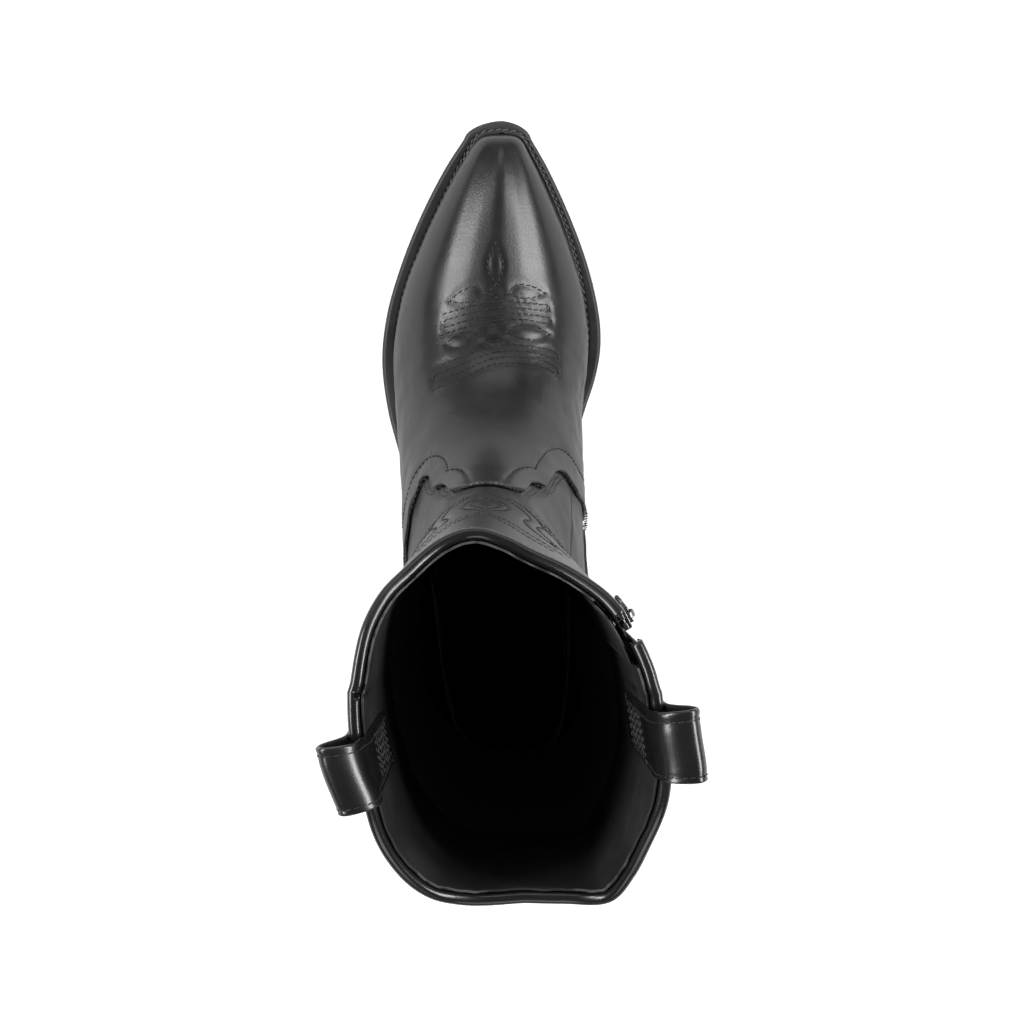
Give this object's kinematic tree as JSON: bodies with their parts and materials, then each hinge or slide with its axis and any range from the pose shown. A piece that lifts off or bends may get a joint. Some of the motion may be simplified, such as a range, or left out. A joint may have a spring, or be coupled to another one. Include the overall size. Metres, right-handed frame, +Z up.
{
  "type": "cowboy boot",
  "caption": "Left pointed-toe western boot with scalloped topline, pull straps, stitched toe, welted sole, block heel and a side zip.",
  "frame": {"origin": "on the floor, under the middle of the overall box", "axes": "+Y towards the toe, +X towards the inner side of the left foot, +Z up the shaft"},
  "size_m": [0.1348, 0.29, 0.3735],
  "materials": {
    "sole_rubber": "matt black",
    "welt_edge": "matt black edge",
    "filler": "cork",
    "steel": "plain",
    "board": "fibre board",
    "lining_cloth": "black knit cloth",
    "heel": "stacked look, black",
    "upper_leather": "semi-gloss black synthetic leather",
    "stiffener": "pressed sheet",
    "backing_cloth": "plain cloth",
    "trim_leather": "black",
    "strap_leather": "semi-gloss black",
    "zip_cloth": "woven tape",
    "zip_plastic": "black coil",
    "zip_metal": "dark plated"
  },
  "bodies": {
    "boot": {"outsole": "sole_rubber", "welt": "welt_edge", "bottom_filler": "filler", "shank": "steel", "insole_board": "board", "sock_liner": "lining_cloth", "heel_block": "heel", "heel_top_lift": "sole_rubber", "heel_nail_1": "steel", "heel_nail_2": "steel", "heel_nail_3": "steel", "heel_nail_4": "steel", "vamp": "upper_leather", "toe_puff": "stiffener", "vamp_interlining": "backing_cloth", "vamp_lining": "lining_cloth", "counter_cover": "upper_leather", "counter_stiffener": "stiffener", "shaft_front_panel": "upper_leather", "shaft_back_panel": "upper_leather", "side_seam_piping": "trim_leather", "shaft_lining_front": "lining_cloth", "shaft_lining_back": "lining_cloth", "facing": "trim_leather", "topline_binding": "trim_leather", "pull_strap_lateral": "strap_leather", "pull_strap_medial": "strap_leather", "zip_tape_front": "zip_cloth", "zip_tape_rear": "zip_cloth", "zip_teeth_front": "zip_plastic", "zip_teeth_rear": "zip_plastic", "zip_top_stop_front": "zip_metal", "zip_top_stop_rear": "zip_metal", "zip_bottom_stop": "zip_metal", "zip_guard": "zip_cloth"},
    "slider": {"zip_slider": "zip_metal"},
    "puller": {"zip_puller": "zip_metal"}
  },
  "joints": [
    {"name": "zip_slide", "type": "slide", "parent": "boot", "child": "slider", "axis": [-0.0715, -0.0008, -0.9974], "range_m": [0, 0.144]},
    {"name": "puller_swing", "type": "hinge", "parent": "slider", "child": "puller", "pos_m": [0.0422, -0.03496, 0.31775], "axis": [0.4351, -0.8999, -0.0304], "range_deg": [0, 150]}
  ]
}
